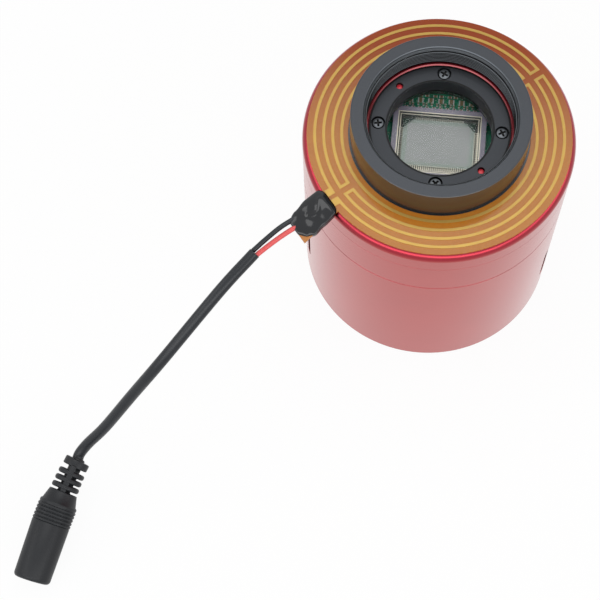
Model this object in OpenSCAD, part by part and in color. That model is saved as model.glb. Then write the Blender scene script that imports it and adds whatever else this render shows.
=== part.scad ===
// Cooled astronomy camera with a dew heater film and its lead.
// Millimetres. The rear face lies on z = 0 and the optical axis is +Z, with the lens collar on top.

/* [Body] */
// Outside diameter of the round body
body_d = 78; // [77:0.5:84]
// Height from the rear face to the front face
body_h = 75; // [74:0.5:80]
// Wall of the rear shell
shell_wall = 3; // [2.8:0.1:3.3]
// Thickness of the rear cover
cover_t = 3; // [2.6:0.1:3.4]
// Height of the sensor chamber's visible ring
chamber_h = 13.5; // [13:0.1:14.5]
// Thickness of the front plate
plate_t = 7.5; // [7.2:0.1:8]
// Radius of the rounded front rim
rim_r = 2.4; // [1.6:0.1:2.6]
// Broken edge at each seam
seam = 0.2; // [0.1:0.05:0.3]
// Vent slots on each side
vent_count = 7; // [3:1:9]
// Width of a vent slot
vent_w = 2.5; // [2:0.1:3]
// Height of a vent slot
vent_h = 16; // [12:0.5:18]

/* [Lens collar and window] */
// Wall of the collar outside the thread
collar_wall = 4.4; // [4:0.1:5]
// Height of the collar above the front face
collar_h = 11; // [9:0.5:13]
// Nominal diameter of the lens thread
thread_d = 42; // [41.8:0.05:42.2]
// Chamfer at the collar's mouth
mouth = 0.6; // [0.3:0.1:0.8]
// Gap between the window cell and the thread
cell_gap = 0.95; // [0.8:0.05:1.2]
// Width of the window cell's ring
cell_w = 5.15; // [5.1:0.05:5.6]
// Height of the cell's face above the front face
cell_rise = 3.6; // [3.4:0.1:3.8]
// Thickness of the window glass
glass_t = 2; // [1.6:0.1:2.2]

/* [Sensor] */
// Active width of the sensor
sensor_w = 17.7; // [15:0.1:18.5]
// Active height of the sensor
sensor_h = 13.4; // [11:0.1:14]
// Width of the ceramic package
package_w = 27; // [26:0.1:27.5]
// Height of the ceramic package
package_h = 22.4; // [21:0.1:23]
// Sensor face above the top of the chamber ring
sensor_rise = 1; // [0.8:0.05:1.1]
// Thickness of the circuit boards
board_t = 1.6; // [1.4:0.05:1.7]

/* [Cooling] */
// Thickness of the fan
fan_t = 10; // [9.6:0.1:11]
// Fan blades
blade_count = 7; // [5:1:9]
// Radial clearance of the shaft in its bearing
shaft_gap = 0.04; // [0.02:0.01:0.08]
// Cooling fins
fin_count = 13; // [9:1:14]
// Thickness of a fin
fin_t = 1.2; // [1:0.1:1.5]
// Height of the lower Peltier stage
tec_lower_t = 3.8; // [3.4:0.1:4.2]

/* [Dew heater] */
// Thickness of the heater film
film_t = 0.3; // [0.2:0.05:0.5]
// Width of a copper track
track_w = 0.85; // [0.7:0.05:1.1]
// Thickness of a copper track
track_t = 0.1; // [0.08:0.01:0.15]
// Direction of the film's tab about the optical axis
tab_az = -141; // [-141:1:-141]
// Width of the tab
tab_w = 7.6; // [7.2:0.1:7.8]

/* [Lead] */
// Diameter of each bare wire
wire_d = 1.45; // [1.2:0.05:1.6]
// Diameter of the jacket
jacket_d = 3.4; // [3.2:0.1:3.8]
// Diameter of the inline socket's body
socket_d = 11.3; // [10.6:0.1:11.3]
// Length of the inline socket's body
socket_l = 17.8; // [16:0.1:19]

/* [Hidden] */
$fn = 96;

RED = [0.70, 0.07, 0.08];
BLACK = [0.07, 0.07, 0.08];
STEEL = [0.72, 0.72, 0.74];
ALU = [0.80, 0.81, 0.82];
GREEN = [0.05, 0.32, 0.16];
COPPER = [0.80, 0.48, 0.28];
GOLD = [0.86, 0.68, 0.28];

slip = 0.05;
body_r = body_d / 2;
shell_r = body_r - shell_wall;
plate_z = body_h - plate_t;
chamber_z = plate_z - chamber_h;
spigot_h = 4;
sink_top = chamber_z - spigot_h;
sink_t = 6;
sink_z = sink_top - sink_t;
lip_t = 1.5;
lip_r = shell_r - 1.5;

collar_top = body_h + collar_h;
thread_r = thread_d / 2;
collar_r = thread_r + collar_wall;
spigot_r = thread_r + 0.2;
cell_r = thread_r - cell_gap;
cell_pitch = cell_r - cell_w / 2 + 0.03;
cell_top = body_h + cell_rise;
boss_top = cell_top + 0.35;
boss_edge = 0.3;
cell_t = 2.4;
cell_z = cell_top - cell_t;
aperture_r = cell_r - cell_w;
skirt_r = aperture_r + 1.3;
skirt_z = cell_z - 2;
gasket_t = 0.6;
glass_top = skirt_z - gasket_t;
seat_z = glass_top - glass_t;
seat_r = skirt_r - 0.5;
screw_r = 0.95;

sensor_z = plate_z + sensor_rise;
package_z = sensor_z - 2.5;
package_top = sensor_z + 0.7;
board_z = package_z - board_t;
board_r = body_r * 0.6513;
hall_r = board_r + 0.6;
ledge_z = board_z - 6.4;
well_r = hall_r - 6;
foam_r = well_r - 1.3;
tec_side = well_r * 1.3;
tec_small = tec_side * 0.77;
package_room = norm([package_w, package_h]) / 2 + 1.26;
nose_w = package_w * 0.548;
nose_h = package_h * 0.5714;
seal_r = hall_r + 4;
seal_low = well_r + 3.5;
front_pitch = body_r - 5.2;
sink_pitch = body_r - 10;
tec_upper_t = 3.4;
tec_top = sink_top + tec_lower_t + tec_upper_t;
ring_t = 0.8;

hub_w = 13.2;
hub_h = 6.8;
hub_reach = 26.2;
wall_y = sqrt(lip_r * lip_r - hub_reach * hub_reach) - hub_h - board_t - 1.64;
port_y = wall_y + board_t;
fan_room = 0.8;
fan_r = (lip_r - 0.5 + wall_y - fan_room) / 2;
fan_d = 2 * fan_r;
fan_y = wall_y - fan_room - fan_r;
fan_z = cover_t;
fan_top = fan_z + fan_t;
fan_in = fan_r - 1.2;
tip_r = fan_in - 0.6;
hub_r = 9.5;
grille = (fan_in - hub_r - 1.3) / 3;
strut_t = 1.2;
strut_z = fan_top - strut_t;
shaft_r = 1;
lug_r = fan_r + 2.4;
lug_at = [12, -12, 168, 192];
bolt_r = shell_r - 3;
bolt_at = [60, 120, -48, -132];
bolt_d = 3;
quarter = [0, 90, 180, 270];
diag = [45, 135, 225, 315];
fin_low = 4 - shell_r;
fin_high = wall_y - 2;
vent_z = 13;
vent_step = 6.5;

port_z = 0.4;
usb_x = 6.3;
jack_x = -5.2;
hub_at = [hub_reach - hub_w / 2, -17.4];
chip_z = 20.4;
chip_h = sink_z - 3 - chip_z;

film_in = collar_r + 0.5;
film_out = body_r - 1.3;
track_in = film_in + 1.8;
track_step = (film_out - 2.3 - track_in) / 3;
turn = 1.27;
bend_r = film_out + 0.3;
bend = 12;
tab_l = 12.2;
tab_low = 0.8 - tab_w / 2;
tab_high = 0.8 + tab_w / 2;
tab_splay = 2.2;

// Radius and height of the body for which the lead's points below are written
lead_r = 39;
lead_h = 75;

// Middle line of the lead, from the heater's terminal to the socket lying on the table
RED_WIRE = route([[-36.9, -31.5, 74.05], [-40.5, -34.2, 72.6], [-44.4, -37.2, 71.2], [-47.9, -40.05, 69.6]]);
BLACK_WIRE = route([[-38.3, -29.5, 74.1], [-42, -32.4, 72.7], [-45.8, -35.9, 71.4], [-49.1, -38.9, 69.6]]);
JACKET = route([[-48.5, -39.45, 69.6], [-57.2, -49.8, 65.2], [-72.6, -67.2, 51.6], [-82.1, -74.3, 38],
    [-90.9, -80.6, 24.6], [-96.6, -84, 17.2], [-99.2, -86.6, 14.3], [-99.85, -88.6, 13.4]]);
socket_end = [-109.3, -124.8, 5.7] + (body_r - lead_r) * [cos(tab_az), sin(tab_az), 0];
socket_turn = [0, 78.4, 75.4];
grip_l = 5.4;
cone_l = 4.7;
relief_l = 11.1;
socket_len = socket_l + grip_l + cone_l + relief_l;
sleeve_l = 10;

// Smooth curve through the points, with n steps between two of them
function bent(a, b, c, d, t) = 0.5 * (2 * b + (c - a) * t + (2 * a - 5 * b + 4 * c - d) * t * t
    + (3 * b - a - 3 * c + d) * t * t * t);
function spline(p, n) = concat([for (i = [0 : len(p) - 2], k = [0 : n - 1])
    bent(i == 0 ? 2 * p[0] - p[1] : p[i - 1], p[i], p[i + 1],
        i == len(p) - 2 ? 2 * p[i + 1] - p[i] : p[i + 2], k / n)], [p[len(p) - 1]]);
function pol(r, a) = [r * cos(a), r * sin(a), 0];
function unit(v) = v / norm(v);
// Points of a lead, which follows the body's side and hangs from the height of its front
function follow(p) = p + (body_r - lead_r) * [cos(tab_az), sin(tab_az), 0]
    + [0, 0, (body_h - lead_h) * (p[2] - 13.4) / 59.7];
function route(p) = spline([for (q = p) follow(q)], 3);
function tangent(p, i) = unit(p[min(i + 1, len(p) - 1)] - p[max(i - 1, 0)]);
function side(t) = unit(cross(t, [0, 0, 1]));
function ring(p, i, r, n) = [for (k = [0 : n - 1])
    p[i] + r * (cos(360 * k / n) * side(tangent(p, i)) + sin(360 * k / n) * cross(side(tangent(p, i)), tangent(p, i)))];
function tube_points(p, r, n) = [for (i = [0 : len(p) - 1]) each ring(p, i, r, n)];
function tube_faces(m, n) = concat([[for (k = [0 : n - 1]) k]],
    [for (i = [0 : m - 2], k = [0 : n - 1])
        [i * n + k, (i + 1) * n + k, (i + 1) * n + (k + 1) % n, i * n + (k + 1) % n]],
    [[for (k = [0 : n - 1]) m * n - 1 - k]]);

module tube(p, d, n = 8) {
    polyhedron(tube_points(p, d / 2, n), tube_faces(len(p), n), convexity = 8);
}

module at_polar(r, angles) {
    for (a = angles) translate(pol(r, a)) children();
}

module pipe(ro, ri, h) {
    difference() {
        cylinder(r = ro, h = h);
        translate([0, 0, -1]) cylinder(r = ri, h = h + 2);
    }
}

// Cross-head screw with the top of its head at z = 0
module screw(head_r, head_h, r, l) {
    difference() {
        union() {
            translate([0, 0, -head_h]) cylinder(r = head_r, h = head_h, $fn = 32);
            translate([0, 0, -l]) cylinder(r = r, h = l, $fn = 24);
        }
        for (a = [0, 90]) rotate([0, 0, a]) translate([-head_r * 0.62, -0.25, -head_h * 0.55])
            cube([head_r * 1.24, 0.5, head_h]);
    }
}

// Room for that screw
module screw_room(head_r, head_h, r, l) {
    translate([0, 0, -head_h]) cylinder(r = head_r, h = head_h + 20, $fn = 32);
    translate([0, 0, -l]) cylinder(r = r, h = l, $fn = 24);
}

module rear_shell() {
    color(RED) difference() {
        rotate_extrude() polygon([[shell_r, 0], [body_r - seam, 0], [body_r, seam], [body_r, chamber_z - seam],
            [body_r - seam, chamber_z], [shell_r, chamber_z], [shell_r, cover_t + lip_t],
            [lip_r, cover_t + lip_t], [lip_r, cover_t], [shell_r, cover_t]]);
        for (s = [0, 180], i = [0 : vent_count - 1])
            rotate([0, 0, s + (i - (vent_count - 1) / 2) * vent_step]) translate([shell_r - 2, 0, vent_z]) vent();
    }
}

module vent() {
    translate([0, -vent_w / 2, vent_w / 2]) cube([shell_wall + 4, vent_w, vent_h - vent_w]);
    for (z = [vent_w / 2, vent_h - vent_w / 2]) translate([0, 0, z]) rotate([0, 90, 0])
        cylinder(d = vent_w, h = shell_wall + 4, $fn = 24);
}

module rear_cover() {
    color(BLACK) difference() {
        cylinder(r = shell_r - slip, h = cover_t);
        translate([0, fan_y, -1]) for (i = [0 : 2]) grille_ring(hub_r + 2.5 + grille * i, hub_r + 2.5 + grille * (i + 0.67));
        at_polar(bolt_r, bolt_at) mirror([0, 0, 1]) screw_room(2.8, 1.8, bolt_d / 2 + slip, 8);
        translate([0, fan_y, 0]) at_polar(lug_r, lug_at) mirror([0, 0, 1]) screw_room(2.1, 1.5, 1.1 + slip, 8);
        translate([usb_x - 6.1, port_y - slip, -1]) cube([12.2, 11.1, cover_t + 2]);
        for (x = hub_at) translate([x - hub_w / 2 - 0.1, port_y - slip, -1])
            cube([hub_w + 0.2, hub_h + 0.2, cover_t + 2]);
        translate([jack_x - 4.6, port_y - slip, -1]) cube([9.2, 11.1, cover_t + 2]);
    }
}

module grille_ring(r0, r1) {
    difference() {
        pipe(r1, r0, cover_t + 2);
        for (a = [0, 60, 120]) rotate([0, 0, a + 30]) translate([-30, -1, -1]) cube([60, 2, cover_t + 4]);
    }
}

module tie_bolts() {
    color(STEEL) at_polar(bolt_r, bolt_at) translate([0, 0, 0.1]) mirror([0, 0, 1])
        screw(2.6, 1.7, bolt_d / 2, sink_z + 4.5);
}

module chamber_body() {
    color(RED) difference() {
        rotate_extrude() polygon([[well_r, sink_top], [shell_r - slip, sink_top], [shell_r - slip, chamber_z],
            [body_r - seam, chamber_z], [body_r, chamber_z + seam], [body_r, plate_z - seam / 3],
            [body_r - seam / 3, plate_z], [hall_r, plate_z], [hall_r, ledge_z], [well_r, ledge_z]]);
        translate([0, 0, plate_z - 2 * ring_t]) pipe(seal_r + 1.1, seal_r - 1.1, 5);
        translate([0, 0, sink_top - 5]) pipe(seal_low + 1.1, seal_low - 1.1, 5 + 2 * ring_t);
        at_polar(front_pitch, quarter) translate([0, 0, plate_z - 7]) cylinder(r = 1.2 + slip, h = 8, $fn = 24);
        at_polar(sink_pitch, quarter) translate([0, 0, sink_top - 1]) cylinder(r = 1.2 + slip, h = 7, $fn = 24);
    }
}

module front_plate() {
    color(RED) difference() {
        union() {
            translate([0, 0, plate_z]) rotate_extrude() union() {
                square([body_r - rim_r, plate_t]);
                translate([0, seam / 3]) square([body_r, plate_t - rim_r - seam / 3]);
                polygon([[0, 0], [body_r - seam / 3, 0], [body_r, seam / 3], [0, seam / 3]]);
                translate([body_r - rim_r, plate_t - rim_r]) circle(r = rim_r);
            }
            translate([0, 0, plate_z]) cylinder(r = spigot_r, h = boss_top - boss_edge - plate_z);
            translate([0, 0, boss_top - boss_edge])
                cylinder(r1 = spigot_r, r2 = spigot_r - boss_edge, h = boss_edge);
        }
        translate([0, 0, plate_z - 1]) cylinder(r = package_room, h = seat_z - 1.6 - plate_z + 1);
        translate([0, 0, plate_z]) cylinder(r = seat_r, h = 20);
        translate([0, 0, seat_z]) cylinder(r = skirt_r + slip, h = 20);
        translate([0, 0, cell_z]) cylinder(r = cell_r + slip, h = 20);
        translate([0, 0, boss_top - boss_edge])
            cylinder(r1 = cell_r + slip, r2 = cell_r + slip + 2 * boss_edge, h = 2 * boss_edge);
        at_polar(cell_pitch, quarter) translate([0, 0, cell_z - 3.7])
            cylinder(r = screw_r + slip, h = 6, $fn = 24);
        at_polar(front_pitch, quarter) translate([0, 0, body_h - 0.1]) screw_room(2.3, 2, 1.2 + slip, plate_t + 2);
    }
}

module front_screws() {
    color(STEEL) at_polar(front_pitch, quarter) translate([0, 0, body_h - 0.1]) screw(2.2, 2, 1.2, plate_t + 6.5);
}

module lens_collar() {
    color(BLACK) difference() {
        translate([0, 0, body_h]) rotate_extrude() polygon([[0, 0], [collar_r, 0], [collar_r, collar_h - 0.3],
            [collar_r - 0.3, collar_h], [0, collar_h]]);
        translate([0, 0, body_h - 1]) cylinder(r = spigot_r + slip, h = boss_top - body_h + 1.15);
        translate([0, 0, body_h]) cylinder(r = thread_r, h = collar_h + 1);
        translate([0, 0, collar_top - mouth]) cylinder(r1 = thread_r, r2 = thread_r + mouth * 2, h = mouth * 2);
    }
}

module window_cell() {
    color(BLACK) difference() {
        union() {
            translate([0, 0, cell_z]) cylinder(r = cell_r, h = cell_t);
            translate([0, 0, skirt_z]) cylinder(r = skirt_r, h = 3);
        }
        translate([0, 0, skirt_z - 1]) cylinder(r = aperture_r, h = 20);
        at_polar(cell_pitch, quarter) translate([0, 0, cell_top - 0.1]) screw_room(2.02, 1.3, screw_r + slip, 8);
        at_polar(cell_pitch, [135, -45]) translate([0, 0, cell_z - 1]) cylinder(r = 1.05, h = 6, $fn = 24);
    }
}

module window_glass() {
    color([0.75, 0.85, 0.9, 0.35]) translate([0, 0, seat_z]) cylinder(r = skirt_r - slip, h = glass_t);
}

module window_gasket() {
    color(BLACK) translate([0, 0, glass_top]) pipe(skirt_r - slip, aperture_r, gasket_t);
}

module cell_screws() {
    color(STEEL) at_polar(cell_pitch, quarter) translate([0, 0, cell_top - 0.1]) screw(1.7, 1.3, screw_r, 5.6);
}

module arc(r, a0, a1) {
    rotate([0, 0, a0]) rotate_extrude(angle = a1 - a0) translate([r - track_w / 2, 0]) square([track_w, track_t]);
}

module bar(x, y, l) {
    translate([x - track_w / 2, y - track_w / 2, 0]) cube([l + track_w, track_w, track_t]);
}

// Bent strip of the tab, which lies flat on the rim and then droops, grown by g. Its right edge splays
// outwards, and its outer left corner is cut away.
module tab(g) {
    c = cos(bend);
    n = sin(bend);
    rotate([0, 0, tab_az]) translate([0, 0, body_h]) intersection() {
        translate([0, 20, 0]) rotate([90, 0, 0]) linear_extrude(height = 40)
            polygon([[film_out - 1.5, -g], [bend_r, -g], [bend_r + tab_l * c, -tab_l * n - g],
                [bend_r + tab_l * c, -tab_l * n + film_t + g], [bend_r, film_t + g], [film_out - 1.5, film_t + g]]);
        translate([0, 0, -20]) linear_extrude(height = 40) polygon([[20, tab_low - g], [bend_r + 6.5 + g, tab_low - g],
            [bend_r + tab_l + 1, 0.4 - g], [bend_r + tab_l + 1, tab_high + tab_splay + g], [bend_r, tab_high + g],
            [20, tab_high + g]]);
    }
}

module heater_film() {
    color([0.76, 0.42, 0.12]) union() {
        translate([0, 0, body_h]) pipe(film_out, film_in, film_t);
        tab(0);
    }
}

module heater_tracks() {
    r1 = track_in + 3 * track_step;
    r2 = track_in + 2 * track_step;
    r3 = track_in + track_step;
    r4 = track_in;
    color(GOLD) rotate([0, 0, tab_az]) translate([0, 0, body_h + film_t]) {
        arc(r4, -180 + asin(turn / r4), 180 - asin(turn / r4));
        for (s = [1, -1]) mirror([0, s == 1 ? 0 : 1, 0]) {
            arc(r1, asin(1.7 / r1), 180 - asin(turn / r1));
            arc(r2, asin(turn / r2), 180 - asin(turn / r2));
            arc(r3, asin(turn / r3), 180 - asin(turn / r3));
            bar(r3 - 0.02, turn, track_step);
            bar(-r1 + 0.02, turn, track_step);
            bar(-r3 + 0.02, turn, track_step);
            translate([r1 - track_w / 2, 0.6, 0]) cube([2.3, 2.2, track_t]);
        }
    }
}

// Frame of the tab, with x along it and z out of its upper face
module on_tab() {
    rotate([0, 0, tab_az]) translate([bend_r, 0, body_h]) rotate([0, bend, 0]) children();
}

module terminal() {
    color(BLACK) difference() {
        on_tab() hull() {
            for (y = [-2.1, 3.3]) translate([1.5, y, 0.3]) sphere(r = 1.9, $fn = 20);
            translate([7.4, -1.7, 0]) sphere(r = 1.7, $fn = 16);
            translate([8.4, 4.7, -0.1]) sphere(r = 1.7, $fn = 16);
            for (y = [-0.2, 2.6]) translate([10.8, y, -0.2]) sphere(r = 1.5, $fn = 16);
        }
        tab(0.04);
        translate([0, 0, plate_z]) cylinder(r = body_r + slip, h = plate_t + film_t + slip);
    }
}

module wire_red() {
    color([0.80, 0.12, 0.14]) tube(RED_WIRE, wire_d);
}

module wire_black() {
    color(BLACK) tube(BLACK_WIRE, wire_d);
}

module lead_jacket() {
    color(BLACK) tube(JACKET, jacket_d);
}

module on_socket() {
    translate(socket_end) rotate(socket_turn) children();
}

module socket_moulding() {
    color(BLACK) on_socket() difference() {
        union() {
            cylinder(d1 = socket_d, d2 = socket_d + 0.5, h = socket_l);
            for (i = [0 : 4]) translate([0, 0, socket_l + i * grip_l / 5]) {
                cylinder(d = socket_d + 0.1, h = grip_l / 5 + 0.01);
                translate([0, 0, 0.2]) cylinder(d = socket_d + 0.6, h = grip_l / 5 - 0.4);
            }
            translate([0, 0, socket_l + grip_l]) cylinder(d1 = socket_d + 0.1, d2 = 8.7, h = cone_l);
            translate([0, 0, socket_l + grip_l + cone_l]) cylinder(d1 = 8.7, d2 = 8.1, h = relief_l);
        }
        translate([0, 0, -1]) cylinder(d = 6.4, h = sleeve_l + 1);
        translate([0, 0, socket_len - 2]) cylinder(d = jacket_d + 1, h = 6);
        for (i = [0 : 3], s = [90, 270]) translate([0, 0, socket_len - relief_l + 0.2 + i * 2.2])
            rotate([0, 0, s]) translate([1.9, -5, 0]) cube([6, 10, 0.85]);
    }
}

module socket_sleeve() {
    color(STEEL) on_socket() translate([0, 0, 0.8]) pipe(3.2, 2.85, sleeve_l - 0.8);
}

module socket_pin() {
    color(STEEL) on_socket() translate([0, 0, 1.5]) union() {
        cylinder(d = 2.1, h = sleeve_l - 1.5, $fn = 32);
        translate([0, 0, sleeve_l - 2.1]) cylinder(d = 5.6, h = 0.6, $fn = 32);
    }
}

module sensor_package() {
    color([0.46, 0.41, 0.48]) difference() {
        translate([-package_w / 2, -package_h / 2, package_z]) cube([package_w, package_h, package_top - package_z]);
        translate([1.65 - package_w / 2, 1.7 - package_h / 2, sensor_z - 0.8])
            cube([package_w - 3.3, package_h - 3.4, 5]);
    }
}

module sensor_die() {
    color([0.33, 0.35, 0.36]) translate([-sensor_w / 2 - 1.7, -sensor_h / 2 - 0.9, sensor_z - 0.8])
        cube([sensor_w + 3.4, sensor_h + 1.8, 0.8]);
}

module sensor_glass() {
    color([0.8, 0.85, 0.9, 0.3]) translate([0.9 - package_w / 2, 0.9 - package_h / 2, package_top])
        cube([package_w - 1.8, package_h - 1.8, 0.6]);
}

module sensor_board() {
    color(GREEN) translate([0, 0, board_z]) difference() {
        cylinder(r = board_r, h = board_t);
        translate([-nose_w / 2 - 0.2, -nose_h / 2 - 0.2, -1]) cube([nose_w + 0.4, nose_h + 0.4, board_t + 2]);
        at_polar(board_r - 2.6, diag) translate([0, 0, -1]) cylinder(r = 1 + slip, h = board_t + 2, $fn = 24);
    }
}

module sensor_board_parts() {
    color([0.66, 0.55, 0.40]) translate([0, 0, package_z]) {
        for (s = [1, -1], i = [-5 : 5]) translate([i * 2 - 0.5, s * (package_h / 2 + 1.6) - 0.3, 0])
            cube([1, 0.6, 0.5]);
        for (s = [1, -1], i = [-3 : 3]) translate([i * 3 - 0.8, s * (package_h / 2 + 4) - 0.6, 0])
            cube([1.6, 1.2, 0.8]);
        for (s = [1, -1], i = [-3 : 3]) translate([s * (package_w / 2 + 2.2) - 0.4, i * 2.4 - 0.6, 0])
            cube([0.8, 1.2, 0.6]);
    }
}

module board_standoffs() {
    color([0.9, 0.9, 0.86]) at_polar(board_r - 2.6, diag) translate([0, 0, ledge_z])
        pipe(2.2, 1 + slip, board_z - ledge_z);
}

module board_screws() {
    color(STEEL) at_polar(board_r - 2.6, diag) translate([0, 0, package_z + 1.2]) screw(1.8, 1.2, 1, 6);
}

module desiccant_tablets() {
    color([0.9, 0.9, 0.92]) at_polar((hall_r + well_r) / 2, quarter) translate([0, 0, ledge_z])
        cylinder(r = 2.6, h = 4);
}

module cold_finger() {
    color(COPPER) union() {
        translate([1 - tec_small / 2, 1 - tec_small / 2, tec_top])
            cube([tec_small - 2, tec_small - 2, board_z - 1 - tec_top]);
        translate([-nose_w / 2, -nose_h / 2, tec_top]) cube([nose_w, nose_h, package_z - tec_top]);
    }
}

module peltier(s, t, n) {
    translate([-s / 2, -s / 2, 0]) cube([s, s, 0.9]);
    translate([-s / 2, -s / 2, t - 0.9]) cube([s, s, 0.9]);
    for (i = [0 : n - 1], j = [0 : n - 1])
        translate([(i - (n - 1) / 2) * (s - 3) / n - 0.8, (j - (n - 1) / 2) * (s - 3) / n - 0.8, 0.8])
            cube([1.6, 1.6, t - 1.6]);
}

module tec_upper() {
    color([0.93, 0.93, 0.91]) translate([0, 0, sink_top + tec_lower_t]) peltier(tec_small, tec_upper_t, 5);
}

module tec_lower() {
    color([0.93, 0.93, 0.91]) translate([0, 0, sink_top]) peltier(tec_side, tec_lower_t, 6);
}

module tec_foam() {
    color([0.2, 0.2, 0.21]) translate([0, 0, sink_top]) pipe(well_r - slip, foam_r, ledge_z - sink_top);
}

module o_ring(r) {
    rotate_extrude() translate([r, 0]) circle(r = ring_t, $fn = 32);
}

module chamber_o_ring() {
    color(BLACK) translate([0, 0, plate_z - ring_t]) o_ring(seal_r);
}

module base_o_ring() {
    color(BLACK) translate([0, 0, sink_top + ring_t]) o_ring(seal_low);
}

module heat_sink() {
    color(ALU) difference() {
        union() {
            translate([0, 0, sink_z]) cylinder(r = shell_r - 0.5, h = sink_t);
            difference() {
                intersection() {
                    translate([0, 0, fan_top]) cylinder(r = shell_r - 2, h = sink_z - fan_top + 1);
                    for (i = [0 : fin_count - 1])
                        translate([-40, fin_low + i * (fin_high - fin_low) / (fin_count - 1), fan_top + 4])
                            cube([80, fin_t, sink_z - fan_top]);
                }
                at_polar(bolt_r, bolt_at) translate([0, 0, fan_top]) cylinder(r = 2.4, h = 60, $fn = 32);
                at_polar(sink_pitch, quarter) translate([0, 0, fan_top]) cylinder(r = 3.1, h = 60, $fn = 32);
            }
        }
        at_polar(bolt_r, bolt_at) translate([0, 0, sink_z - 1]) cylinder(r = bolt_d / 2 + slip, h = 6, $fn = 32);
        at_polar(sink_pitch, quarter) translate([0, 0, sink_z - 1]) cylinder(r = 1.2 + slip, h = 20, $fn = 24);
        translate([-26, wall_y - slip, sink_z - 1]) cube([52, board_t + 2 * slip, 2]);
    }
}

module sink_screws() {
    color(STEEL) at_polar(sink_pitch, quarter) translate([0, 0, sink_z - 2]) mirror([0, 0, 1])
        screw(2.3, 2, 1.2, 2 + sink_t + 5.5);
}

module fan_frame() {
    color(BLACK) translate([0, fan_y, fan_z]) difference() {
        union() {
            pipe(fan_r, fan_in, fan_t);
            at_polar(lug_r, lug_at) cylinder(r = 2.6, h = fan_t, $fn = 32);
            translate([0, 0, fan_t - strut_t]) cylinder(r = hub_r - 0.5, h = strut_t);
            for (a = [0, 90]) rotate([0, 0, a + 45]) translate([-fan_r + 0.5, -1.2, fan_t - strut_t])
                cube([fan_d - 1, 2.4, strut_t]);
            translate([0, 0, 3.5]) cylinder(r = 3.2, h = fan_t - 3.5);
        }
        difference() {
            translate([0, 0, -1]) cylinder(r = fan_in, h = fan_t - strut_t + 1);
            translate([0, 0, 3.5]) cylinder(r = 3.2, h = fan_t);
        }
        translate([0, 0, 2]) cylinder(r = 2 + slip / 2, h = fan_t - 2 - strut_t, $fn = 48);
        at_polar(lug_r, lug_at) translate([0, 0, -1]) cylinder(r = 1.1 + slip, h = fan_t + 2, $fn = 24);
    }
}

// Thin curved blade section from the hub to the tip
function blade_edge(s) = [for (i = [0 : 5]) let (r = hub_r - 0.4 + (tip_r - hub_r + 0.4) * i / 5)
    [r * cos(5 * i + s * 34 / r), r * sin(5 * i + s * 34 / r)]];
function back(v) = [for (i = [len(v) - 1 : -1 : 0]) v[i]];

module fan_rotor() {
    color([0.12, 0.12, 0.13]) translate([0, fan_y, fan_z]) union() {
        difference() {
            translate([0, 0, 0.9]) cylinder(r = hub_r, h = fan_t - strut_t - 1.5);
            translate([0, 0, 2.1]) cylinder(r = hub_r - 1, h = fan_t);
            cylinder(r = shaft_r + 0.02, h = 20, $fn = 48);
        }
        for (k = [0 : blade_count - 1]) rotate([0, 0, 360 * k / blade_count]) translate([0, 0, 1.2])
            linear_extrude(height = fan_t - strut_t - 2.2, twist = -28, slices = 5, segments = 12)
                polygon(concat(blade_edge(-1), back(blade_edge(1))));
    }
}

module fan_magnet() {
    color([0.25, 0.24, 0.23]) translate([0, fan_y, fan_z + 2.1]) pipe(hub_r - 1, hub_r - 2.2, fan_t - strut_t - 3);
}

module fan_shaft() {
    color(STEEL) translate([0, fan_y, fan_z + 0.9]) cylinder(r = shaft_r, h = fan_t - strut_t - 1.5, $fn = 48);
}

module fan_bearing() {
    color(GOLD) translate([0, fan_y, fan_z + 3.5]) pipe(2, shaft_r + shaft_gap, fan_t - strut_t - 3.5, $fn = 48);
}

module fan_stator() {
    color(COPPER) translate([0, fan_y, fan_z + 4]) difference() {
        union() {
            pipe(4.6, 3.2 + slip / 2, fan_t - strut_t - 4);
            for (a = quarter) rotate([0, 0, a]) {
                translate([4, -1.2, 0.8]) cube([2, 2.4, fan_t - strut_t - 5.4]);
                intersection() {
                    pipe(hub_r - 2.7, hub_r - 3.7, fan_t - strut_t - 4);
                    translate([0, -3.2, 0]) cube([10, 6.4, fan_t]);
                }
            }
        }
    }
}

module fan_screws() {
    color(STEEL) translate([0, fan_y, 0.1]) at_polar(lug_r, lug_at) mirror([0, 0, 1])
        screw(2, 1.4, 1.1, cover_t + fan_t - 1);
}

module main_board() {
    color(GREEN) translate([-24, wall_y, cover_t]) cube([48, board_t, sink_z + 1 - cover_t]);
}

module main_board_chips() {
    color([0.10, 0.10, 0.11]) translate([0, port_y, chip_z]) {
        translate([-9, 0, chip_h * 0.17]) cube([16, 1.4, chip_h * 0.78]);
        translate([10, 0, chip_h * 0.47]) cube([11, 1, chip_h * 0.44]);
        translate([10, 0, chip_h * 0.02]) cube([9, 0.9, chip_h * 0.38]);
        translate([-20, 0, chip_h * 0.42]) cube([8, 1.2, chip_h * 0.4]);
        for (i = [0 : 4]) translate([-22 + i * 2.2, 0, chip_h * 0.08]) cube([1.2, 0.8, 2]);
    }
}

// Metal port shell, open towards -Z
module port(x, w, h, l) {
    translate([x - w / 2, port_y, port_z]) difference() {
        cube([w, h, l]);
        translate([0.6, 0.6, -1]) cube([w - 1.2, h - 1.2, l - 1]);
    }
}

module usb_port() {
    color(STEEL) port(usb_x, 12, 11, 18);
}

module usb_tongue() {
    color([0.10, 0.25, 0.62]) translate([usb_x - 2.9, port_y + 3.2, port_z + 1.2]) cube([5.8, 4.4, 14.8]);
}

module hub_ports() {
    color(STEEL) for (x = hub_at) port(x, hub_w, hub_h, 17);
}

module hub_tongues() {
    color([0.10, 0.25, 0.62]) for (x = hub_at) translate([x - 5.4, port_y + 3.4, port_z + 1.2])
        cube([10.8, 1.9, 13.8]);
}

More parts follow.
